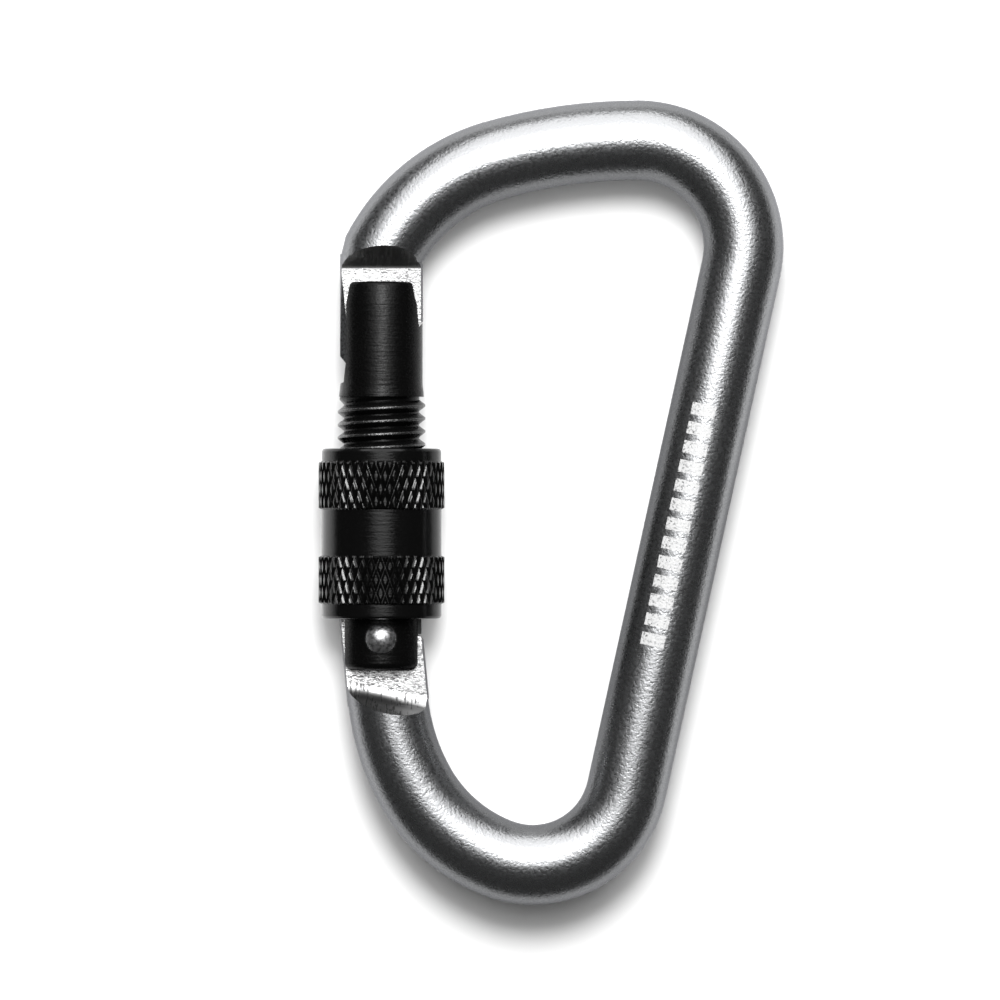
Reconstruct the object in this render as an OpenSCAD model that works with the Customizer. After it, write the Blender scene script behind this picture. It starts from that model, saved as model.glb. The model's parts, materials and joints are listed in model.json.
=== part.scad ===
// Screw-lock snap carabiner, lying flat.
// +Y runs along the long axis towards the nose end, +X from the gate towards the
// spine, +Z through the thickness. The origin is under the middle of the outline.
// The modules below are drawn about the hinge axis, in the middle plane of the
// bar, and placed() moves them to the origin.

/* [Bar] */
// Diameter of the round bar that the frame is bent from
bar_d = 8; // [7.6:0.1:8.2]
// Height above the hinge axis at which the bar leaves the nose
nose_y = 38.4; // [38:0.1:39]
// Heading of the bar where it leaves the nose, clockwise from +Y
nose_lean = 27; // [24:1:30]
// Length of the straight spine
spine_len = 53.3; // [52:0.1:55]

/* [Bends] */
// Bend radius of the bow just above the nose
nose_bend_r = 18.5; // [17:0.5:20]
// Turn of the bow just above the nose
nose_bend_turn = 47; // [45:1:49]
// Bend radius of the flat top bow
top_bend_r = 51.6; // [48:0.1:54]
// Bend radius of the upper corner
upper_corner_r = 10.6; // [10:0.1:11]
// Lean of the spine from the long axis
spine_lean = 12.4; // [12:0.1:13]
// Bend radius of the lower corner
lower_corner_r = 9.6; // [9.3:0.1:10]
// Turn of the lower corner
lower_corner_turn = 98.3; // [97:0.1:99]
// Bend radius of the bottom bow
bottom_bend_r = 16.1; // [15.5:0.1:16.5]
// Turn of the bottom bow
bottom_bend_turn = 39.4; // [39:0.1:40]
// Bend radius of the bar below the hinge
hinge_bend_r = 21.8; // [21:0.1:22.5]
// Turn of the bar below the hinge
hinge_bend_turn = 24.4; // [24:0.1:25]

/* [Tangs] */
// Thickness of both tangs
tang_t = 2.5; // [2.3:0.1:2.7]
// Diameter of the turned nose
nose_d = 8.3; // [8.2:0.1:8.4]
// Height of the shoulder where the nose tang meets the bar
nose_shoulder_y = 36.85; // [36.6:0.05:37]
// Height of the nose tang's lower edge on the outer side
nose_tip_outer_y = 28.2; // [27.8:0.1:28.4]
// Height of the nose tang's lower edge on the inner side
nose_tip_inner_y = 31.65; // [31.6:0.05:32]
// Radius at the foot of the milled ramp above the nose tang
nose_ramp_r = 0.6; // [0.4:0.05:0.8]
// Steepness of the nose ramp above its foot
nose_ramp_slope = 54; // [52:1:58]
// Radius at the foot of the milled ramp below the hinge tang
hinge_ramp_r = 1.6; // [1.4:0.1:1.8]
// Steepness of the hinge ramp above its foot
hinge_ramp_slope = 62; // [58:1:66]
// Distance from the hinge axis to the hinge tang's ramp
hinge_ramp_gap = 4.8; // [4.8:0.05:5]
// Slant of the hinge tang's ramp
hinge_ramp_slant = 11; // [9:1:13]
// Diameter of the bar at the hinge tang
hinge_bar_d = 8.2; // [8.1:0.1:8.2]
// Height of the hinge tang's top above the hinge axis
hinge_tang_top = 2.6; // [2.5:0.05:2.6]
// Height of the ledge that the follower presses on
ledge_y = 0.3; // [0.2:0.05:0.35]

/* [Gate] */
// Diameter of the gate
gate_d = 8.24; // [8:0.02:8.3]
// Height of the gate's upper end
gate_top_y = 35.6; // [35.2:0.05:35.7]
// Height of the gate's lower end
gate_end_y = -3.2; // [-3.4:0.05:-3.1]
// Radius of the rounded edge at the gate's upper end
gate_top_round = 0.5; // [0.4:0.1:0.8]
// How much the gate's upper end narrows, on the radius
gate_top_taper = 0.35; // [0.2:0.05:0.4]
// Radius of the rounded edge at the gate's lower end
gate_end_round = 0.8; // [0.6:0.1:1]
// Width of the slot that straddles the nose
nose_slot_w = 4.4; // [4:0.1:4.4]
// Width of the slot that straddles the hinge tang
hinge_slot_w = 3.9; // [3.9:0.05:4.1]
// Height of the floor of the lower slot
slot_floor_y = 6.6; // [6.5:0.1:7]
// Outer diameter of the thread
thread_d = 8.8; // [8.7:0.05:9]
// Diameter at the root of the thread
thread_root_d = 7.6; // [7.5:0.05:7.8]
// Distance between neighbouring thread crests
thread_pitch = 1.3; // [1.25:0.05:1.35]
// Height of the thread's upper end
thread_top_y = 24.1; // [23.8:0.1:24.3]
// Number of thread crests
thread_crests = 11; // [9:1:11]

/* [Sleeve] */
// Diameter of the sleeve between its knurled bands
sleeve_d = 12; // [11.8:0.1:12.2]
// Diameter over the knurled bands
band_d = 12.6; // [12.4:0.1:12.8]
// Bore of the sleeve
sleeve_bore_d = 9.2; // [9.15:0.05:9.3]
// Height of the sleeve's lower end when it is screwed down
sleeve_y = 1.95; // [1.9:0.05:2.1]
// Length of the sleeve
sleeve_len = 17; // [16.8:0.1:17.2]
// Length of one knurled band
band_len = 4.85; // [4.6:0.05:4.9]
// Length of the plain collar above the upper band
upper_collar = 1.25; // [1.2:0.05:1.3]
// Length of the plain collar below the lower band
lower_collar = 1.45; // [1.4:0.05:1.5]

/* [Hinge and spring] */
// Diameter of the rivet's shank
rivet_d = 2.4; // [2.3:0.05:2.4]
// Diameter of the rivet's heads
rivet_head_d = 3; // [2.9:0.05:3.1]
// Height of a rivet head
rivet_head_h = 1; // [0.9:0.05:1]
// Height of the rim under a rivet head's dome
rivet_rim_h = 0.3; // [0.2:0.05:0.4]
// Running gap between the shank and the tang, on the radius
rivet_gap = 0.05; // [0.03:0.01:0.08]
// Diameter of the blind bore for the spring
spring_bore_d = 3.8; // [3.8:0.05:3.9]
// Height of the closed end of the blind bore
spring_bore_top_y = 19.5; // [19:0.1:20]
// Running gap between the follower and its bore, on the radius
follower_gap = 0.07; // [0.05:0.01:0.09]
// Wire diameter of the spring
wire_d = 0.5; // [0.4:0.05:0.5]
// Number of turns in the spring
spring_turns = 9; // [8:1:10]

/* [Hidden] */
$fn = 96;
tiny = 0.01;
bar_r = bar_d / 2;
nose_r = nose_d / 2;
gate_r = gate_d / 2;
top_bend_turn = 90 - nose_lean - nose_bend_turn;
upper_corner_turn = 90 + spine_lean;

// The bar as a chain of runs from the nose round to the hinge.
// A bend is [radius, turn] and a straight is [0, length].
RUNS = [
    [nose_bend_r, nose_bend_turn],
    [top_bend_r, top_bend_turn],
    [upper_corner_r, upper_corner_turn],
    [0, spine_len],
    [lower_corner_r, lower_corner_turn],
    [bottom_bend_r, bottom_bend_turn],
    [hinge_bend_r, hinge_bend_turn]
];
TOP_CORNER = 2;
LOWER_CORNER = 4;
RUN_COUNT = len(RUNS);
hair = 0.02;
run_reach = 0.2;

function ahead(heading) = [sin(heading), cos(heading)];
function inward(heading) = [cos(heading), -sin(heading)];
function run_turn(run) = run[0] == 0 ? 0 : run[1];
function run_end(p, heading, run) =
    run[0] == 0 ? p + run[1] * ahead(heading)
                : p + run[0] * (inward(heading) - inward(heading + run[1]));
function start_heading(i) = i == 0 ? nose_lean : start_heading(i - 1) + run_turn(RUNS[i - 1]);
function start_point(i) =
    i == 0 ? [0, nose_y] : run_end(start_point(i - 1), start_heading(i - 1), RUNS[i - 1]);
function bend_centre(i) = start_point(i) + RUNS[i][0] * inward(start_heading(i));

// Outline of the whole part, for the move to the origin.
corner_reach = (bar_d + hair) / 2;
outline_top = bend_centre(TOP_CORNER)[1] + upper_corner_r + corner_reach;
outline_bottom = bend_centre(LOWER_CORNER)[1] - lower_corner_r - corner_reach;
outline_right = bend_centre(TOP_CORNER)[0] + upper_corner_r + corner_reach;
outline_left = -band_d / 2;
hinge_to_origin = [
    -(outline_left + outline_right) / 2,
    -(outline_top + outline_bottom) / 2,
    band_d / 2
];

// Nose and hinge ends of the bar
nose_tip_y = min(nose_tip_outer_y, nose_tip_inner_y) - 1;
mitre = 12;
corner_back = 1;
bevel_x = -3.6;
bevel_y = 33;
bevel_top_y = 36.6;
bevel_slant = 6;
bevel_tilt = 38;
tip_corner_x = -3.5;
tip_corner_drop = 0.8;
hinge_heading = start_heading(RUN_COUNT);
hinge_start = start_point(RUN_COUNT);
cutter = 12;
mill_reach = 3.2;
ramp_lap = 0.02;
ledge_inner_x = 2.7;
ledge_outer_x = 3.75;
tang_step_x = 1.5;
tang_corner_r = 0.4;

// Gate details
gate_taper_len = 2.2;
gate_taper_angle = atan(gate_top_taper / gate_taper_len);
flare = 0.14;
flare_len = 1.3;
saw_r = 20;
saw_centre = [-11.5, 44];
saw_bevel_len = 2;
saw_bevel_h = 0.5;
spot_face_z = 3.75;
spot_face_d = rivet_head_d + 0.2;
thread_depth = (thread_d - thread_root_d) / 2;
crest_w = thread_pitch / 4;
thread_len = thread_crests * thread_pitch;

// Sleeve details
sleeve_edge = 0.3;
band_edge = (band_d - sleeve_d) / 2;
lower_band_y = sleeve_y + lower_collar;
upper_band_y = sleeve_y + sleeve_len - upper_collar - band_len;

// Follower, from its foot on the tang's ledge up to the guide pin in the spring
foot_clear = 0.12;
foot_y = ledge_y + foot_clear;
foot_x = 3;
foot_outer_x = 4;
bridge_y = hinge_tang_top + 0.15;
bridge_t = 1.15;
head_r = spring_bore_d / 2 - follower_gap;
head_y = bridge_y + bridge_t;
head_len = 4.8;
pin_r = 0.95;
pin_len = 2.8;
follower_t = 3.6;

// Spring, between the follower's head and the closed end of the bore
seat_gap = 0.02;
spring_y = head_y + head_len + wire_d / 2 + seat_gap;
spring_end_y = spring_bore_top_y - wire_d / 2 - seat_gap;
spring_r = spring_bore_d / 2 - wire_d / 2 - 0.12;
coil_steps = 20;
wire_sides = 8;
dead_turns = 1;

// Moves what is drawn about the hinge axis to the origin.
module placed() {
    translate(hinge_to_origin)
        children();
}

// Stands a turned shape on the hinge axis, along +Y.
module along_y(y = 0) {
    translate([0, y, 0])
        rotate([-90, 0, 0])
            children();
}

// One run of the bar. Every other run is a hair thicker, and its thinner neighbours
// reach a little way into it, so no two surfaces meet edge to edge.
module bar_run(i) {
    run = RUNS[i];
    heading = start_heading(i);
    thick = i % 2 == 0;
    d = thick ? bar_d + hair : bar_d;
    reach = thick ? 0 : run_reach;
    if (run[0] == 0) {
        translate(start_point(i))
            rotate([-90, 0, -heading])
                translate([0, 0, -reach])
                    cylinder(d = d, h = run[1] + 2 * reach);
    } else {
        extra = reach / run[0] * 180 / PI;
        translate(bend_centre(i))
            rotate([0, 0, 180 - heading - run[1] - extra])
                rotate_extrude(angle = run[1] + 2 * extra)
                    translate([run[0], 0])
                        circle(d = d);
    }
}

// Everything below a plane through a point, whose normal has the given heading.
module below(p, heading) {
    translate(p)
        rotate([0, 0, -heading])
            translate([-cutter, -2 * cutter, -cutter])
                cube(2 * cutter);
}

// The turned nose, mitred to meet the leaning bar.
module nose() {
    intersection() {
        along_y(nose_tip_y)
            cylinder(d = nose_d, h = mitre + nose_y - nose_tip_y);
        below([0, nose_y], nose_lean / 2);
    }
    difference() {
        translate([0, nose_y])
            rotate([-90, 0, -nose_lean])
                translate([0, 0, -bar_r])
                    cylinder(d = bar_d, h = bar_r + run_reach);
        below([0, nose_y], nose_lean / 2);
    }
}

// What is shaved off the sharp outer corner where the nose meets the leaning bar.
// What stays there is part of a bar that leans half as far.
module corner_shave() {
    half_lean = nose_lean / 2;
    translate([0, nose_y - corner_back, 0])
        rotate([0, 0, -half_lean])
            difference() {
                translate([-cutter, 0, -cutter / 2])
                    cube([cutter - nose_r / 2, 2 * corner_back, cutter]);
                along_y(-1)
                    cylinder(d = nose_d, h = 2 * corner_back + 2);
            }
}

// Lead-in bevels along the outer edges of the nose tang.
module nose_bevels() {
    for (flip = [0, 1])
        mirror([0, 0, flip])
            translate([bevel_x, bevel_y, tang_t / 2])
                rotate([0, 0, bevel_slant])
                    rotate([0, -bevel_tilt, 0])
                        translate([-2, nose_tip_y - bevel_y - 1, 0])
                            cube([4, bevel_top_y - nose_tip_y + 1, 2]);
}

// Side view of the milling cutter: flat, then a rounded foot, then a steep ramp.
module mill_section(foot_r, slope) {
    foot = [0, foot_r] + (foot_r - ramp_lap) * [sin(slope), -cos(slope)];
    ramp_end = foot[0] + (mill_reach - foot[1]) / tan(slope);
    union() {
        translate([-cutter, 0])
            square([cutter, mill_reach]);
        translate([0, foot_r])
            circle(foot_r);
        polygon([
            [-1, foot_r],
            foot,
            [ramp_end, mill_reach],
            [-1, mill_reach]
        ]);
    }
}

// Milling cutter that leaves a tang between its halves and a ramp up to the bar.
// Its flat ends on local Y = 0 and the tang lies towards local -Y.
module tang_mill(foot_r, slope) {
    for (flip = [0, 1])
        mirror([0, 0, flip])
            translate([-cutter / 2, 0, tang_t / 2])
                rotate([90, 0, 90])
                    linear_extrude(cutter)
                        mill_section(foot_r, slope);
}

// Outline of the hinge tang above its ledge, to be kept.
module hinge_tang_outline() {
    polygon([
        [-cutter, -cutter],
        [-cutter, hinge_tang_top],
        [tang_step_x, hinge_tang_top],
        [ledge_inner_x, ledge_y],
        [ledge_outer_x, ledge_y],
        [ledge_outer_x + tang_corner_r, ledge_y - tang_corner_r],
        [cutter, ledge_y - cutter],
        [cutter, -cutter]
    ]);
}

module hinge_end() {
    difference() {
        intersection() {
            translate(hinge_start)
                rotate([-90, 0, -hinge_heading])
                    translate([0, 0, -run_reach])
                        cylinder(d = hinge_bar_d, h = cutter);
            linear_extrude(bar_d + 1, center = true)
                hinge_tang_outline();
        }
        cylinder(r = rivet_d / 2 + rivet_gap, h = bar_d + 1, center = true);
    }
}

module frame() {
    color("#9a9c9e")
        placed() difference() {
            union() {
                for (i = [0 : RUN_COUNT - 1])
                    bar_run(i);
                nose();
                hinge_end();
            }
            corner_shave();
            translate([0, nose_shoulder_y, 0])
                tang_mill(nose_ramp_r, nose_ramp_slope);
            nose_bevels();
            linear_extrude(nose_d + 1, center = true)
                polygon([
                    [-nose_r - tiny, nose_tip_y - 1],
                    [-nose_r - tiny, nose_tip_outer_y],
                    [tip_corner_x, nose_tip_outer_y - tip_corner_drop],
                    [nose_r + tiny, nose_tip_inner_y],
                    [nose_r + tiny, nose_tip_y - 1]
                ]);
            rotate([0, 0, 180 - hinge_ramp_slant])
                translate([0, hinge_ramp_gap, 0])
                    tang_mill(hinge_ramp_r, hinge_ramp_slope);
        }
}

// What a rounded edge takes off the corner of a turned section. The corner is at the
// origin and the metal lies towards -X and -Y, where its side leans out by an angle.
module round_off(r, lean) {
    centre = [r * tan(lean) - r / cos(lean), -r];
    difference() {
        polygon([
            centre,
            centre + [0, r],
            [tiny, tiny],
            centre + r * [cos(lean), sin(lean)]
        ]);
        translate(centre)
            circle(r);
    }
}

// Outline of one half of the gate's section along its axis, before slotting.
module gate_section() {
    union() {
        difference() {
            translate([0, gate_end_y])
                square([gate_r, gate_top_y - gate_end_y]);
            translate([gate_r, gate_end_y])
                mirror([0, 1])
                    round_off(gate_end_round, 0);
            polygon([
                [gate_r, gate_top_y - gate_taper_len],
                [gate_r - gate_top_taper, gate_top_y],
                [gate_r - gate_top_taper, gate_top_y + 1],
                [gate_r + 1, gate_top_y + 1],
                [gate_r + 1, gate_top_y - gate_taper_len]
            ]);
            translate([gate_r - gate_top_taper, gate_top_y])
                round_off(gate_top_round, gate_taper_angle);
            translate([thread_root_d / 2, thread_top_y - thread_len])
                square([gate_r, thread_len]);
        }
        polygon([
            [gate_r - tiny, thread_top_y],
            [gate_r + flare, thread_top_y],
            [gate_r, thread_top_y + flare_len],
            [gate_r - tiny, thread_top_y + flare_len]
        ]);
        for (i = [0 : thread_crests - 1])
            translate([thread_root_d / 2 - tiny, thread_top_y - (i + 0.5) * thread_pitch])
                polygon([
                    [0, -thread_pitch / 2],
                    [thread_depth + tiny, -crest_w / 2],
                    [thread_depth + tiny, crest_w / 2],
                    [0, thread_pitch / 2]
                ]);
    }
}

// The saw that slots the gate for the nose. It is a little narrower at its rim.
module saw() {
    rim = nose_slot_w / 2 - saw_bevel_h;
    translate(saw_centre)
        rotate_extrude($fn = 180)
            polygon([
                [0, -nose_slot_w / 2],
                [saw_r - saw_bevel_len, -nose_slot_w / 2],
                [saw_r, -rim],
                [saw_r, rim],
                [saw_r - saw_bevel_len, nose_slot_w / 2],
                [0, nose_slot_w / 2]
            ]);
}

module gate() {
    color("#18181a")
        placed() difference() {
            rotate([-90, 0, 0])
                rotate_extrude()
                    gate_section();
            saw();
            translate([-gate_d, gate_end_y - 1, -hinge_slot_w / 2])
                cube([2 * gate_d, slot_floor_y - gate_end_y + 1, hinge_slot_w]);
            along_y(slot_floor_y - tiny)
                cylinder(d = spring_bore_d, h = spring_bore_top_y - slot_floor_y + tiny);
            cylinder(d = rivet_d, h = gate_d + 1, center = true);
            for (side = [-1, 1])
                translate([0, 0, side * (spot_face_z + gate_r / 2)])
                    cylinder(d = spot_face_d, h = gate_r, center = true);
        }
}

// A turned ring whose two outer edges are chamfered.
module chamfered_ring(y, d, length, edge) {
    r = d / 2;
    rotate([-90, 0, 0])
        rotate_extrude()
            polygon([
                [sleeve_bore_d / 2, y],
                [r - edge, y],
                [r, y + edge],
                [r, y + length - edge],
                [r - edge, y + length],
                [sleeve_bore_d / 2, y + length]
            ]);
}

module lock_sleeve() {
    color("#141416")
        placed() union() {
            chamfered_ring(sleeve_y, sleeve_d, sleeve_len, sleeve_edge);
            chamfered_ring(lower_band_y, band_d, band_len, band_edge);
            chamfered_ring(upper_band_y, band_d, band_len, band_edge);
        }
}

// Half of a rivet head's section: a dome on a short upright rim.
module head_section() {
    rivet_head_r = rivet_head_d / 2;
    dome_h = rivet_head_h - rivet_rim_h;
    dome_r = (rivet_head_r * rivet_head_r + dome_h * dome_h) / (2 * dome_h);
    intersection() {
        translate([0, spot_face_z + rivet_head_h - dome_r])
            circle(dome_r);
        translate([0, spot_face_z])
            square([rivet_head_r, rivet_head_h + tiny]);
    }
}

module hinge_rivet() {
    color("#c8cacc")
        placed() union() {
            cylinder(d = rivet_d, h = 2 * spot_face_z, center = true);
            rotate_extrude()
                head_section();
            rotate([180, 0, 0])
                rotate_extrude()
                    head_section();
        }
}

module follower() {
    color("#2a2a2c")
        placed() union() {
            linear_extrude(follower_t, center = true)
                polygon([
                    [-head_r, bridge_y],
                    [foot_x, bridge_y],
                    [foot_x, foot_y],
                    [foot_outer_x, foot_y],
                    [foot_outer_x, bridge_y + bridge_t],
                    [-head_r, bridge_y + bridge_t]
                ]);
            along_y(head_y)
                cylinder(r = head_r, h = head_len);
            along_y(head_y + head_len)
                cylinder(r = pin_r, h = pin_len);
        }
}

// Height of the wire's middle after a number of turns: the end turns lie close.
function coil_rise(turns) =
    let (live = spring_turns - 2 * dead_turns)
    let (closed = dead_turns * wire_d)
    let (rise = spring_end_y - spring_y - 2 * closed)
    turns < dead_turns ? turns * wire_d
    : turns > spring_turns - dead_turns
        ? spring_end_y - spring_y - (spring_turns - turns) * wire_d
        : closed + rise * (turns - dead_turns) / live;

module gate_spring() {
    rings = spring_turns * coil_steps;
    points = [
        for (i = [0 : rings], k = [0 : wire_sides - 1])
            let (a = 360 * i / coil_steps)
            let (b = 360 * k / wire_sides)
            let (r = spring_r + wire_d / 2 * cos(b))
            [r * cos(a), spring_y + coil_rise(i / coil_steps) + wire_d / 2 * sin(b), r * sin(a)]
    ];
    sides = [
        for (i = [0 : rings - 1], k = [0 : wire_sides - 1])
            let (next = (k + 1) % wire_sides)
            [
                i * wire_sides + k,
                i * wire_sides + next,
                (i + 1) * wire_sides + next,
                (i + 1) * wire_sides + k
            ]
    ];
    ends = [
        [for (k = [wire_sides - 1 : -1 : 0]) k],
        [for (k = [0 : wire_sides - 1]) rings * wire_sides + k]
    ];
    color("#b0b2b4")
        placed() polyhedron(points = points, faces = concat(sides, ends), convexity = 10);
}

frame();
gate();
lock_sleeve();
hinge_rivet();
follower();
gate_spring();
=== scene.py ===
"""Looks of a small screw-lock carabiner that lies flat on a pale floor.

The CAD frame gives the places and the overall sizes. The bar, the gate, the rivet and the
spring are welded copies of their CAD solids, and the gate gets a true helical thread. The
sleeve is turned here, with its diamond knurling, and the follower keeps its CAD mesh.
"""

import json
import math

import bmesh
import bpy
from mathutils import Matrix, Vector


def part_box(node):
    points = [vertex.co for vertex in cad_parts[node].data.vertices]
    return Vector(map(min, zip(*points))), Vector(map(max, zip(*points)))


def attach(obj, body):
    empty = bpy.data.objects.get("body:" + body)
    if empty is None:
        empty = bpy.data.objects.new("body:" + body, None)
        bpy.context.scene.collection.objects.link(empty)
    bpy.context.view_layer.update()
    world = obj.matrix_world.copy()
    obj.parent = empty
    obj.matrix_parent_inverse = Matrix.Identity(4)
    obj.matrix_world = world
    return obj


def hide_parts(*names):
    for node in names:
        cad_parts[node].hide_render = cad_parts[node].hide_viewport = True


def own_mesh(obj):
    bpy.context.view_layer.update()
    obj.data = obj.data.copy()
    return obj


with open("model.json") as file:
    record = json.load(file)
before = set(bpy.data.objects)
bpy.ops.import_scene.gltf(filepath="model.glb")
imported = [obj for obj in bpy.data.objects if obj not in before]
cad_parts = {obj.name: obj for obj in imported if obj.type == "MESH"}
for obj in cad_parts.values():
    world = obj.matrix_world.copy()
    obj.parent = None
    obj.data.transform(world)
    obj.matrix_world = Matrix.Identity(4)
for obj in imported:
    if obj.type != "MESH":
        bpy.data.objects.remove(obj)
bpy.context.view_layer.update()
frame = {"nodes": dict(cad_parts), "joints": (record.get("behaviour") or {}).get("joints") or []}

MM = 0.001                                  # every length here is in metres


# ---------------------------------------------------------------- places from the frame

def joint(name):
    return next(j for j in frame["joints"] if j["name"] == name)


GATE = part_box("gate")
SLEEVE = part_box("lock_sleeve")
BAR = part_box("frame")
SLEEVE_MIDDLE = (SLEEVE[0] + SLEEVE[1]) / 2
AXIS_X = SLEEVE_MIDDLE.x                    # the gate's and the sleeve's common axis
MID_Z = SLEEVE_MIDDLE.z                     # the bar's middle plane
HINGE = Vector(joint("gate_hinge")["pos_m"])
BAR_R = (BAR[1].z - BAR[0].z) / 2

# Sleeve
BAND_R = (SLEEVE[1].x - SLEEVE[0].x) / 2
BODY_R = BAND_R - 0.3 * MM
BORE_R = 4.6 * MM
BORE_EDGE = 0.25 * MM                       # chamfer at both ends of the bore
SLEEVE_EDGE = (                             # an outer edge's rings, as the distance from the
    (0, 0.3 * MM),                          # sleeve's end and the distance from its side
    (0.08 * MM, 0.12 * MM),
    (0.3 * MM, 0),
)
BAND_LEN = 4.85 * MM
BAND_FOOT = 0.02 * MM                       # from each end of a band to a ring of the body
BAND_END_SLOPE = 4                          # steepness of a band's ends
UPPER_COLLAR = 1.25 * MM                    # from the sleeve's upper end to a band
LOWER_COLLAR = 1.45 * MM                    # from the sleeve's lower end to a band
KNURL_STARTS = 42
KNURL_PITCH = 2.58 * MM                     # length of one diamond along the axis
KNURL_DEPTH = 0.2 * MM
KNURL_SLOPE = 2.0                           # above 1, the diamonds get a flat top
KNURL_STEPS = 16                            # steps of the mesh across each diamond
KNURL_FINISH_R = BODY_R + 0.05 * MM         # the knurling's own finish starts here

# Thread
THREAD_R = (GATE[1].x - GATE[0].x) / 2
ROOT_R = 3.8 * MM
THREAD_PITCH = 1.3 * MM
THREAD_TURNS = 11
THREAD_TOP = HINGE.y + 24.1 * MM
THREAD_LEN = THREAD_TURNS * THREAD_PITCH
THREAD_START = 0.35                         # pitches from the thread's foot to the ridge's start
THREAD_STEPS = 72                           # steps of the mesh in each turn
THREAD_STEPS_SHORT = 9                      # steps by which the ridge ends early
THREAD_FADE = 0.65                          # share of its depth lost over a whole last turn
RIDGE_HALF_BASE = 0.485 * THREAD_PITCH
RIDGE_HALF_CREST = 0.07 * THREAD_PITCH
RIDGE_SUNK = 0.1 * MM                       # how deep the ridge's base lies under the root
CREST_ROUND = 0.09 * MM
CREST_STEPS = 3
CREST_FINISH_R = THREAD_R - 0.6 * CREST_ROUND           # the rubbed finish starts here
RECESS_LAP = 0.02 * MM                      # how far the recess cut here passes the CAD's
RECESS_REACH = 1 * MM                       # how far its cutter stands out of the gate
RECESS_SIDES = 128

# Milled ends of the bar
ENDS_REACH = 6 * MM                         # both ends lie this near to the gate's axis,
ENDS_BELOW = 10 * MM                        # and no further than this below the hinge
HINGE_END_TOP = 5 * MM                      # top of the hinge's end, above the hinge
FLATS_REACH = 0.6 * BAR_R                   # the flats lie this near to the middle plane
TANG_HALF = 1.25 * MM
CUT_EDGE_FACING = 0.3                       # a tang's cut edge faces along the gate by more
HINGE_RAMP_SLANT = math.radians(11)
ALIGNED = 0.999                             # cosine above which two directions agree
SQUARE = 0.01                               # cosine below which they are square
ANODISED, NOSE_FLAT, HINGE_FLAT, NOSE_RAMP, HINGE_RAMP = range(5)   # the bar's materials

# Plain row of bars printed along the spine
SPINE_LEAN = math.radians(12.4)
SPINE_MARK = HINGE + Vector((29.6, 11.3, 0)) * MM       # middle of the row
LADDER_WIDTH = 2.4 * MM
LADDER_PITCH = 1.95 * MM
LADDER_RUNG = 1.25 * MM
LADDER_COUNT = 13
LADDER_LEN = (LADDER_COUNT - 1) * LADDER_PITCH + 1.2 * LADDER_RUNG  # just past both end rungs

# Meshes
WELD = 0.001 * MM                           # points of a CAD mesh this close are one
SLIVER = 0.0005 * MM                        # width of the slivers that a cut leaves


# ---------------------------------------------------------------- mesh helpers

def object_from_bmesh(name, bm):
    mesh = bpy.data.meshes.new(name)
    bm.normal_update()
    bm.to_mesh(mesh)
    bm.free()
    obj = bpy.data.objects.new(name, mesh)
    bpy.context.scene.collection.objects.link(obj)
    return obj


def welded_copy(node, name):
    """A closed copy of a CAD node's mesh, without its split corners."""
    bm = bmesh.new()
    bm.from_mesh(frame["nodes"][node].data)
    bmesh.ops.remove_doubles(bm, verts=bm.verts, dist=WELD)
    bmesh.ops.recalc_face_normals(bm, faces=bm.faces)
    obj = object_from_bmesh(name, bm)
    old_normals = obj.data.attributes.get("custom_normal")
    if old_normals is not None:
        obj.data.attributes.remove(old_normals)
    return obj


def set_materials(obj, *mats):
    obj.data.materials.clear()
    for mat in mats:
        obj.data.materials.append(mat)


def finish_beyond(obj, radius, mat):
    """Gives the faces that lie further than a radius from the gate's axis their own material."""
    obj.data.materials.append(mat)
    index = len(obj.data.materials) - 1
    for face in obj.data.polygons:
        if math.hypot(face.center.x - AXIS_X, face.center.z - MID_Z) > radius:
            face.material_index = index


def shade(obj, sharp_degrees):
    """Smooth shading, except across edges that turn by more than an angle."""
    obj.data.shade_smooth()
    obj.data.set_sharp_from_angle(angle=math.radians(sharp_degrees))


def carve(obj, cutter, operation):
    """Joins or cuts the object with another closed mesh, which goes."""
    mod = obj.modifiers.new("carve", "BOOLEAN")
    mod.operation = operation
    mod.solver = "EXACT"
    mod.object = cutter
    graph = bpy.context.evaluated_depsgraph_get()
    mesh = bpy.data.meshes.new_from_object(obj.evaluated_get(graph))
    obj.modifiers.clear()
    obj.data = mesh
    bpy.data.objects.remove(cutter)


def drop_slivers(obj):
    """Welds the points that cuts have left too close together, and drops flat slivers."""
    bm = bmesh.new()
    bm.from_mesh(obj.data)
    bmesh.ops.remove_doubles(bm, verts=bm.verts, dist=SLIVER)
    bmesh.ops.dissolve_degenerate(bm, edges=bm.edges, dist=SLIVER)
    bm.to_mesh(obj.data)
    bm.free()


def ring_point(radius, angle, y):
    """A point at a radius and an angle about the gate's axis. Angle 0 is towards +X."""
    return Vector((AXIS_X + radius * math.cos(angle), y, MID_Z - radius * math.sin(angle)))


def round_ring(bm, radius, y, sides):
    """Vertices of a plain ring about the gate's axis."""
    return [bm.verts.new(ring_point(radius, 2 * math.pi * i / sides, y)) for i in range(sides)]


def skin(bm, rings):
    """Faces between neighbouring rings of vertices, from the first to the last."""
    for a, b in zip(rings, rings[1:]):
        for i in range(len(a)):
            j = (i + 1) % len(a)
            bm.faces.new((a[i], a[j], b[j], b[i]))


# ---------------------------------------------------------------- node helpers

def grey(level):
    return (level, level, level)


def material(name):
    """A new material, with its nodes, its links and its shader."""
    mat = bpy.data.materials.new(name)
    mat.use_nodes = True
    nodes = mat.node_tree.nodes
    return mat, nodes, mat.node_tree.links, nodes["Principled BSDF"]


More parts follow.
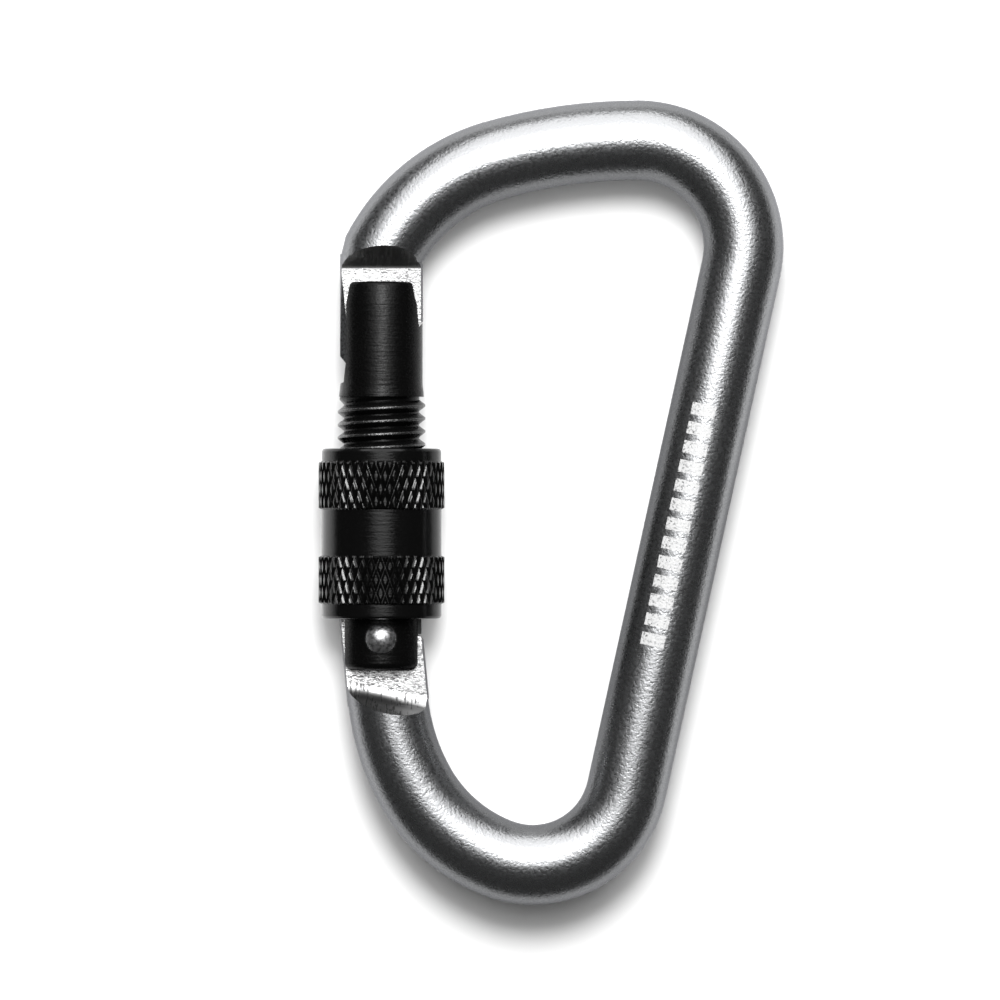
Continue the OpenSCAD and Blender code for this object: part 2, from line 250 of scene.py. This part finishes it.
def place(nodes, links, stretch=(1, 1, 1)):
    """Places on the object in millimetres, times a number along each axis."""
    coords = nodes.new("ShaderNodeTexCoord")
    mapping = nodes.new("ShaderNodeMapping")
    mapping.inputs["Scale"].default_value = [s / MM for s in stretch]
    links.new(coords.outputs["Object"], mapping.inputs["Vector"])
    return mapping.outputs["Vector"]


def noise(nodes, links, where, scale=1.0, detail=2.0, rough=0.5, distortion=0.0):
    """Noise from 0 to 1, with about as many features in each unit of where as its scale."""
    tex = nodes.new("ShaderNodeTexNoise")
    tex.inputs["Scale"].default_value = scale
    tex.inputs["Detail"].default_value = detail
    tex.inputs["Roughness"].default_value = rough
    tex.inputs["Distortion"].default_value = distortion
    links.new(where, tex.inputs["Vector"])
    return tex.outputs["Fac"]


def remap(nodes, links, value, given, wanted):
    """Maps one (low, high) range to another. What lies outside it is clamped."""
    node = nodes.new("ShaderNodeMapRange")
    node.inputs["From Min"].default_value = given[0]
    node.inputs["From Max"].default_value = given[1]
    node.inputs["To Min"].default_value = wanted[0]
    node.inputs["To Max"].default_value = wanted[1]
    links.new(value, node.inputs["Value"])
    return node.outputs["Result"]


def math_node(nodes, links, operation, *values):
    """An operation on sockets and plain numbers."""
    node = nodes.new("ShaderNodeMath")
    node.operation = operation
    for socket, value in zip(node.inputs, values):
        if isinstance(value, (int, float)):
            socket.default_value = value
        else:
            links.new(value, socket)
    return node.outputs["Value"]


def blend_colours(nodes, links, amount, dark, light):
    node = nodes.new("ShaderNodeMix")
    node.data_type = "RGBA"
    node.inputs["A"].default_value = (*dark, 1)
    node.inputs["B"].default_value = (*light, 1)
    links.new(amount, node.inputs["Factor"])
    return node.outputs["Result"]


def bump(nodes, links, height, strength, distance, below=None):
    """A bump, on top of the one below where that is given."""
    node = nodes.new("ShaderNodeBump")
    node.inputs["Strength"].default_value = strength
    node.inputs["Distance"].default_value = distance
    links.new(height, node.inputs["Height"])
    if below is not None:
        links.new(below, node.inputs["Normal"])
    return node.outputs["Normal"]


def mix_shaders(nodes, links, amount, first, second, output):
    """Sends the first shader to the output where the amount is 0, and the second where 1."""
    mix = nodes.new("ShaderNodeMixShader")
    links.new(amount, mix.inputs["Fac"])
    links.new(first, mix.inputs[1])
    links.new(second, mix.inputs[2])
    links.new(mix.outputs["Shader"], output.inputs["Surface"])


# ---------------------------------------------------------------- materials

def printed_ladder(nodes, links, where):
    """Above 0 inside a plain row of short bars, rubbed in places, along the top of the spine."""
    turned = nodes.new("ShaderNodeVectorRotate")
    turned.rotation_type = "Z_AXIS"
    turned.inputs["Center"].default_value = SPINE_MARK / MM
    turned.inputs["Angle"].default_value = SPINE_LEAN
    links.new(where, turned.inputs["Vector"])
    offset = nodes.new("ShaderNodeVectorMath")
    offset.operation = "SUBTRACT"
    offset.inputs[1].default_value = SPINE_MARK / MM
    links.new(turned.outputs["Vector"], offset.inputs[0])
    axes = nodes.new("ShaderNodeSeparateXYZ")
    links.new(offset.outputs["Vector"], axes.inputs["Vector"])
    across = math_node(nodes, links, "ABSOLUTE", axes.outputs["X"])
    along = math_node(nodes, links, "ABSOLUTE", axes.outputs["Y"])
    start = math_node(nodes, links, "ADD", axes.outputs["Y"], LADDER_RUNG / 2 / MM)
    rung = math_node(nodes, links, "FRACT",
                     math_node(nodes, links, "DIVIDE", start, LADDER_PITCH / MM))
    inside = math_node(nodes, links, "LESS_THAN", across, LADDER_WIDTH / 2 / MM)
    for test in (math_node(nodes, links, "LESS_THAN", along, LADDER_LEN / 2 / MM),
                 math_node(nodes, links, "LESS_THAN", rung, LADDER_RUNG / LADDER_PITCH),
                 math_node(nodes, links, "GREATER_THAN", axes.outputs["Z"], 0.0)):
        inside = math_node(nodes, links, "MULTIPLY", inside, test)
    wear = noise(nodes, links, where, scale=4.5, detail=3.0, rough=0.7)
    ink_left = remap(nodes, links, wear, (0.4, 0.48), (0.15, 1))
    return math_node(nodes, links, "MULTIPLY", inside, ink_left)


def anodised_bar():
    """Grey anodising over a bead-blasted surface, whose grain breaks up the highlight."""
    mat, nodes, links, surface = material("anodised_bar")
    where = place(nodes, links)
    grain = noise(nodes, links, where, scale=3.3, rough=0.6)
    fine = noise(nodes, links, where, scale=8.0, detail=1.0)
    patches = noise(nodes, links, where, scale=0.12, detail=3.0)
    colour = blend_colours(nodes, links, patches, (0.148, 0.150, 0.153), (0.172, 0.174, 0.177))
    links.new(colour, surface.inputs["Base Color"])
    links.new(remap(nodes, links, grain, (0.3, 0.7), (0.24, 0.34)), surface.inputs["Roughness"])
    blasted = bump(nodes, links, grain, strength=0.7, distance=0.05 * MM)
    links.new(bump(nodes, links, fine, strength=0.35, distance=0.02 * MM, below=blasted),
              surface.inputs["Normal"])
    surface.inputs["Metallic"].default_value = 1.0
    surface.inputs["Specular Tint"].default_value = (0.42, 0.42, 0.43, 1)

    ink = nodes.new("ShaderNodeBsdfPrincipled")
    ink.inputs["Base Color"].default_value = (*grey(0.27), 1)
    ink.inputs["Roughness"].default_value = 0.6
    links.new(blasted, ink.inputs["Normal"])
    mix_shaders(nodes, links, printed_ladder(nodes, links, where), surface.outputs["BSDF"],
                ink.outputs["BSDF"], nodes["Material Output"])
    return mat


def milled_metal(name, stretch, swirl, edge, dark, bright, roughness):
    """Bare metal with tool marks. Over an edge of the marks' noise, its colour turns from dark
    to bright, and its roughness from the first value to the second."""
    mat, nodes, links, surface = material(name)
    where = place(nodes, links, stretch)
    marks = noise(nodes, links, where, detail=3.0, rough=0.6, distortion=swirl)
    metal = remap(nodes, links, marks, edge, (0, 1))
    links.new(blend_colours(nodes, links, metal, dark, bright), surface.inputs["Base Color"])
    links.new(remap(nodes, links, metal, (0, 1), roughness), surface.inputs["Roughness"])
    links.new(bump(nodes, links, marks, strength=0.5, distance=0.05 * MM),
              surface.inputs["Normal"])
    surface.inputs["Metallic"].default_value = 1.0
    return mat


def milled_flat(name, torn, bright):
    """Bright aluminium as the mill leaves it, torn into short wavy marks. A higher value of
    torn leaves more of them."""
    return milled_metal(name, stretch=(2.6, 6.6, 2.6), swirl=0.9, edge=(torn - 0.06, torn + 0.03),
                        dark=(0.05, 0.05, 0.051), bright=grey(bright), roughness=(0.5, 0.26))


def milled_ramp(name, dark, bright):
    """Aluminium where the mill ran out, scored down the slope."""
    return milled_metal(name, stretch=(4.0, 0.6, 0.6), swirl=0.0, edge=(0.40, 0.46),
                        dark=grey(dark), bright=grey(bright), roughness=(0.45, 0.3))


def black_anodising(name, base, roughness, grain_depth, specular, line_depth=0.05 * MM):
    """Satin black anodising over fine turning lines that run round the axis."""
    mat, nodes, links, surface = material(name)
    round_axis = place(nodes, links, stretch=(0.35, 3.4, 0.35))
    turning = noise(nodes, links, round_axis, detail=3.0, rough=0.65)
    grain = noise(nodes, links, place(nodes, links), scale=4.2, detail=3.0, rough=0.65)
    colour = blend_colours(nodes, links, grain, grey(0.8 * base), grey(1.25 * base))
    links.new(colour, surface.inputs["Base Color"])
    links.new(remap(nodes, links, grain, (0.3, 0.7), (roughness - 0.05, roughness + 0.07)),
              surface.inputs["Roughness"])
    turned = bump(nodes, links, turning, strength=0.4, distance=line_depth)
    links.new(bump(nodes, links, grain, strength=0.5, distance=grain_depth, below=turned),
              surface.inputs["Normal"])
    surface.inputs["Metallic"].default_value = 0.0
    surface.inputs["IOR"].default_value = 1.5
    surface.inputs["Specular IOR Level"].default_value = specular
    return mat


def plain_steel(name, colour, roughness):
    """Drawn or headed steel with faint scuffs."""
    mat, nodes, links, surface = material(name)
    scuffs = noise(nodes, links, place(nodes, links), scale=3.0, detail=4.0, rough=0.65)
    clean = remap(nodes, links, scuffs, (0.4, 0.55), (0, 1))
    tint = blend_colours(nodes, links, clean, [0.45 * c for c in colour], colour)
    links.new(tint, surface.inputs["Base Color"])
    links.new(remap(nodes, links, scuffs, (0.3, 0.7), (roughness - 0.06, roughness + 0.08)),
              surface.inputs["Roughness"])
    links.new(bump(nodes, links, scuffs, strength=0.4, distance=0.05 * MM),
              surface.inputs["Normal"])
    surface.inputs["Metallic"].default_value = 1.0
    return mat


# ---------------------------------------------------------------- the bent bar

def bar_finish(face):
    """Which of the bar's materials a face has."""
    normal = face.normal
    centre = face.calc_center_median()
    near_gate = abs(centre.x - AXIS_X) < ENDS_REACH and centre.y > HINGE.y - ENDS_BELOW
    if not near_gate:
        return ANODISED
    at_hinge = centre.y < HINGE.y + HINGE_END_TOP
    flat_finish, ramp_finish = (HINGE_FLAT, HINGE_RAMP) if at_hinge else (NOSE_FLAT, NOSE_RAMP)
    if abs(normal.z) > ALIGNED and abs(centre.z - MID_Z) < FLATS_REACH:
        return flat_finish
    if abs(normal.z) < SQUARE and abs(centre.z - MID_Z) < TANG_HALF:
        facing = normal.y if at_hinge else -normal.y
        return flat_finish if facing > CUT_EDGE_FACING else ANODISED
    slant = HINGE_RAMP_SLANT if at_hinge else math.pi
    downhill = Vector((math.sin(slant), math.cos(slant), 0))
    level = Vector((normal.x, normal.y, 0))
    on_ramp = level.length > SQUARE and level.normalized().dot(downhill) > ALIGNED
    return ramp_finish if on_ramp else ANODISED


def make_bar():
    bar = welded_copy("frame", "bent_bar")
    set_materials(bar, anodised_bar(),
                  milled_flat("nose_flat", torn=0.436, bright=0.155),
                  # the hinge flat's lighter colour is painted light, which makes up for the shade
                  # the sleeve casts on it
                  milled_flat("hinge_flat", torn=0.468, bright=0.23),
                  # the nose ramp's lighter colours are painted light, which lifts the dark it
                  # shows as it faces away from the softboxes
                  milled_ramp("nose_ramp", dark=0.17, bright=0.32),
                  milled_ramp("hinge_ramp", dark=0.05, bright=0.2))
    bm = bmesh.new()
    bm.from_mesh(bar.data)
    bm.normal_update()
    for face in bm.faces:
        face.material_index = bar_finish(face)
    bm.to_mesh(bar.data)
    bm.free()
    shade(bar, sharp_degrees=25)
    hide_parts("frame")
    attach(bar, "frame")


# ---------------------------------------------------------------- gate with its thread

def recess_cutter():
    """A closed tube round the gate, which cuts the recess for the thread."""
    inner, outer = ROOT_R - RECESS_LAP, THREAD_R + RECESS_REACH
    low, high = THREAD_TOP - THREAD_LEN - RECESS_LAP, THREAD_TOP + RECESS_LAP
    bm = bmesh.new()
    rings = [round_ring(bm, radius, y, RECESS_SIDES)
             for radius, y in ((inner, low), (outer, low), (outer, high), (inner, high))]
    skin(bm, rings + rings[:1])
    bmesh.ops.recalc_face_normals(bm, faces=bm.faces)
    return object_from_bmesh("recess_cutter", bm)


def thread_profile(depth):
    """(radius, place along the axis) of points round one ridge of the thread."""
    flank = math.atan2(THREAD_R - ROOT_R, RIDGE_HALF_BASE - RIDGE_HALF_CREST)
    half_flat = RIDGE_HALF_CREST - CREST_ROUND * math.tan(flank / 2)
    top = ROOT_R + depth
    upper = [(ROOT_R - RIDGE_SUNK, RIDGE_HALF_BASE)]
    for k in range(CREST_STEPS + 1):
        lean = flank * (1 - k / CREST_STEPS)
        upper.append((top - CREST_ROUND * (1 - math.cos(lean)),
                      half_flat + CREST_ROUND * math.sin(lean)))
    return [(r, -y) for r, y in upper] + upper[::-1]


def thread_ridge():
    """One helical ridge, right-handed. It rises over its first turn, and loses part of its
    depth over its last, where it runs out into the plain end of the gate."""
    bm = bmesh.new()
    rings = []
    for i in range(THREAD_TURNS * THREAD_STEPS - THREAD_STEPS_SHORT):
        turns = i / THREAD_STEPS
        angle = 2 * math.pi * i / THREAD_STEPS
        y = THREAD_TOP - THREAD_LEN + THREAD_PITCH * (THREAD_START + turns)
        fade = max(0, turns - (THREAD_TURNS - 1)) * THREAD_FADE
        depth = (THREAD_R - ROOT_R) * min(1 - fade, (i + 1) / THREAD_STEPS)
        rings.append([bm.verts.new(ring_point(r, angle, y + dy))
                      for r, dy in thread_profile(depth)])
    skin(bm, rings)
    bm.faces.new(rings[0])
    bm.faces.new(rings[-1])
    bmesh.ops.recalc_face_normals(bm, faces=bm.faces)
    return object_from_bmesh("thread_ridge", bm)


def make_gate():
    gate = welded_copy("gate", "gate_with_thread")
    carve(gate, recess_cutter(), "DIFFERENCE")
    carve(gate, thread_ridge(), "UNION")
    drop_slivers(gate)
    set_materials(gate, black_anodising("black_gate", base=0.001, roughness=0.25,
                                        grain_depth=0.05 * MM, specular=0.058,
                                        line_depth=0.13 * MM))
    finish_beyond(gate, CREST_FINISH_R,
                  black_anodising("worn_crests", base=0.004, roughness=0.2,
                                  grain_depth=0.14 * MM, specular=0.45))
    shade(gate, sharp_degrees=28)
    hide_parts("gate")
    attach(gate, "gate")


# ---------------------------------------------------------------- knurled sleeve

def wave(phase):
    """A triangle wave: 0 where the phase is whole, 1 halfway between."""
    return 1 - abs(2 * (phase % 1) - 1)


def knurl_height(turn, y):
    """Height of the diamonds from 0 in a groove to 1 on their flats."""
    right = wave(KNURL_STARTS * turn + y / KNURL_PITCH)
    left = wave(KNURL_STARTS * turn - y / KNURL_PITCH)
    return min(1, KNURL_SLOPE * min(right, left))


def sleeve_rows():
    """(y, radius, knurled) of each ring on the outside, from the lower end to the upper."""
    low, high = SLEEVE[0].y, SLEEVE[1].y
    rows = [(low + along, BODY_R - inwards, False) for along, inwards in SLEEVE_EDGE]
    for start in (low + LOWER_COLLAR, high - UPPER_COLLAR - BAND_LEN):
        rows.append((start - BAND_FOOT, BODY_R, False))
        count = round(BAND_LEN / KNURL_PITCH * KNURL_STEPS)
        for i in range(count + 1):
            along = BAND_LEN * i / count
            to_end = min(along, BAND_LEN - along)
            rise = min(BAND_END_SLOPE * to_end, BAND_R - BODY_R)
            rows.append((start + along, BODY_R + rise, True))
        rows.append((start + BAND_LEN + BAND_FOOT, BODY_R, False))
    rows += [(high - along, BODY_R - inwards, False) for along, inwards in SLEEVE_EDGE[::-1]]
    return rows


def knurled_ring(bm, cap, y, sides):
    """Vertices of a ring that follows the diamonds, but stays within a radius."""
    ring = []
    for i in range(sides):
        height = knurl_height(i / sides, y - SLEEVE[0].y)
        radius = min(cap, BAND_R - KNURL_DEPTH * (1 - height))
        ring.append(bm.verts.new(ring_point(radius, 2 * math.pi * i / sides, y)))
    return ring


def make_sleeve():
    bm = bmesh.new()
    sides = KNURL_STARTS * KNURL_STEPS
    rings = []
    for y, radius, knurled in sleeve_rows():
        ring = knurled_ring if knurled else round_ring
        rings.append(ring(bm, radius, y, sides))
    bore = ((SLEEVE[1].y, BORE_R + BORE_EDGE), (SLEEVE[1].y - BORE_EDGE, BORE_R),
            (SLEEVE[0].y + BORE_EDGE, BORE_R), (SLEEVE[0].y, BORE_R + BORE_EDGE))
    for y, radius in bore:
        rings.append(round_ring(bm, radius, y, sides))
    skin(bm, rings + rings[:1])
    bmesh.ops.recalc_face_normals(bm, faces=bm.faces)
    sleeve = object_from_bmesh("knurled_sleeve", bm)
    set_materials(sleeve, black_anodising("black_sleeve", base=0.001, roughness=0.17,
                                          grain_depth=0.02 * MM, specular=0.12))
    finish_beyond(sleeve, KNURL_FINISH_R,
                  black_anodising("black_knurl", base=0.0005, roughness=0.11,
                                  grain_depth=0.02 * MM, specular=0.16))
    shade(sleeve, sharp_degrees=24)
    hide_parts("lock_sleeve")
    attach(sleeve, "sleeve")


# ---------------------------------------------------------------- rivet, spring, follower

def make_rivet():
    rivet = welded_copy("hinge_rivet", "headed_rivet")
    set_materials(rivet, plain_steel("rivet_steel", colour=(0.28, 0.28, 0.284), roughness=0.35))
    shade(rivet, sharp_degrees=30)
    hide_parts("hinge_rivet")
    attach(rivet, "gate")


def make_spring():
    """A welded copy of the CAD spring in plain steel, which goes with the gate, with a mesh of
    its own.
    """
    spring = welded_copy("gate_spring", "coil_spring")
    set_materials(spring, plain_steel("spring_steel", colour=(0.5, 0.5, 0.52), roughness=0.3))
    shade(spring, sharp_degrees=60)
    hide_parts("gate_spring")
    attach(spring, "gate")
    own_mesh(spring)


def finish_follower():
    """The follower keeps its CAD mesh, and gets a better material."""
    set_materials(frame["nodes"]["follower"],
                  black_anodising("follower_steel", base=0.002, roughness=0.3,
                                  grain_depth=0.04 * MM, specular=0.11))


# ---------------------------------------------------------------- stage, light, camera

def split_by_ray(nodes, links, others, camera, output):
    """Shows one shader to camera rays, and another to all the other rays."""
    path = nodes.new("ShaderNodeLightPath")
    mix_shaders(nodes, links, path.outputs["Is Camera Ray"], others, camera, output)


def make_floor():
    """A pale sheet, which glows further out, where the softboxes leave it dim. Reflections show
    it without the glow, with painted shade both under the part and far out."""
    bm = bmesh.new()
    bmesh.ops.create_grid(bm, x_segments=8, y_segments=8, size=3.0)
    floor = object_from_bmesh("floor", bm)
    mat, nodes, links, surface = material("pale_floor")
    coords = nodes.new("ShaderNodeTexCoord")
    length = nodes.new("ShaderNodeVectorMath")
    length.operation = "LENGTH"
    links.new(coords.outputs["Object"], length.inputs[0])
    distance = length.outputs["Value"]
    glow = remap(nodes, links, distance, (70 * MM, 300 * MM), (0, 1))
    links.new(glow, surface.inputs["Emission Strength"])
    surface.inputs["Emission Color"].default_value = (1, 1, 1, 1)
    surface.inputs["Base Color"].default_value = (*grey(0.52), 1)
    surface.inputs["Roughness"].default_value = 0.9
    surface.inputs["Specular IOR Level"].default_value = 0.0

    reflected = nodes.new("ShaderNodeBsdfDiffuse")
    # painted shade: in reflections, the floor's colour darkens under the part and far out
    under = remap(nodes, links, distance, (20 * MM, 40 * MM), (0.5, 1))
    far_out = remap(nodes, links, distance, (38 * MM, 95 * MM), (1, 0.06))
    links.new(math_node(nodes, links, "MULTIPLY", under, far_out), reflected.inputs["Color"])
    split_by_ray(nodes, links, reflected.outputs["BSDF"], surface.outputs["BSDF"],
                 nodes["Material Output"])
    set_materials(floor, mat)


def softbox(name, tilt_degrees, half_x_degrees, half_y_degrees, radiance):
    """An oval softbox that leans over the part from the nose end. The half angles are what it
    spans as the part sees it, and its power is what its radiance gives over its area."""
    tilt = math.radians(tilt_degrees)
    distance = 380 * MM
    light = bpy.data.lights.new(name, "AREA")
    light.shape = "ELLIPSE"
    light.size = 2 * distance * math.tan(math.radians(half_x_degrees))
    light.size_y = 2 * distance * math.tan(math.radians(half_y_degrees))
    area = math.pi * light.size * light.size_y / 4
    light.energy = radiance * math.pi * area
    obj = bpy.data.objects.new(name, light)
    towards = Vector((0, math.sin(tilt), math.cos(tilt)))
    obj.location = Vector((0, 0, MID_Z)) + distance * towards
    obj.rotation_euler = (-tilt, 0, 0)
    obj.visible_camera = False
    bpy.context.scene.collection.objects.link(obj)


def make_lights():
    softbox("softbox", tilt_degrees=42, half_x_degrees=35, half_y_degrees=46, radiance=5.6)
    softbox("key", tilt_degrees=23, half_x_degrees=10, half_y_degrees=10, radiance=47)


def white_background(nodes, strength):
    node = nodes.new("ShaderNodeBackground")
    node.inputs["Color"].default_value = (1, 1, 1, 1)
    node.inputs["Strength"].default_value = strength
    return node.outputs["Background"]


def make_world():
    """Dim surroundings for reflections, and a pale backdrop for the camera."""
    world = bpy.data.worlds.new("studio")
    bpy.context.scene.world = world
    world.use_nodes = True
    nodes, links = world.node_tree.nodes, world.node_tree.links
    nodes.clear()
    room = white_background(nodes, strength=0.12)
    backdrop = white_background(nodes, strength=1.0)
    split_by_ray(nodes, links, room, backdrop, nodes.new("ShaderNodeOutputWorld"))


def make_camera():
    """Straight above, as a long lens on a copy stand sees it."""
    view_width = 100 * MM
    distance = 800 * MM
    aim = Vector((AXIS_X + 11.85 * MM, HINGE.y + 13.8 * MM, MID_Z))
    cam = bpy.data.cameras.new("camera")
    cam.sensor_width = 36
    cam.lens = cam.sensor_width * distance / view_width
    cam.clip_start = 0.01
    cam.clip_end = 20
    obj = bpy.data.objects.new("camera", cam)
    obj.location = aim + Vector((0, 0, distance))
    bpy.context.scene.collection.objects.link(obj)
    bpy.context.scene.camera = obj


bpy.context.scene.view_settings.view_transform = "Standard"
make_camera()
make_floor()
make_lights()
make_world()
make_bar()
make_gate()
make_sleeve()
make_rivet()
make_spring()
finish_follower()
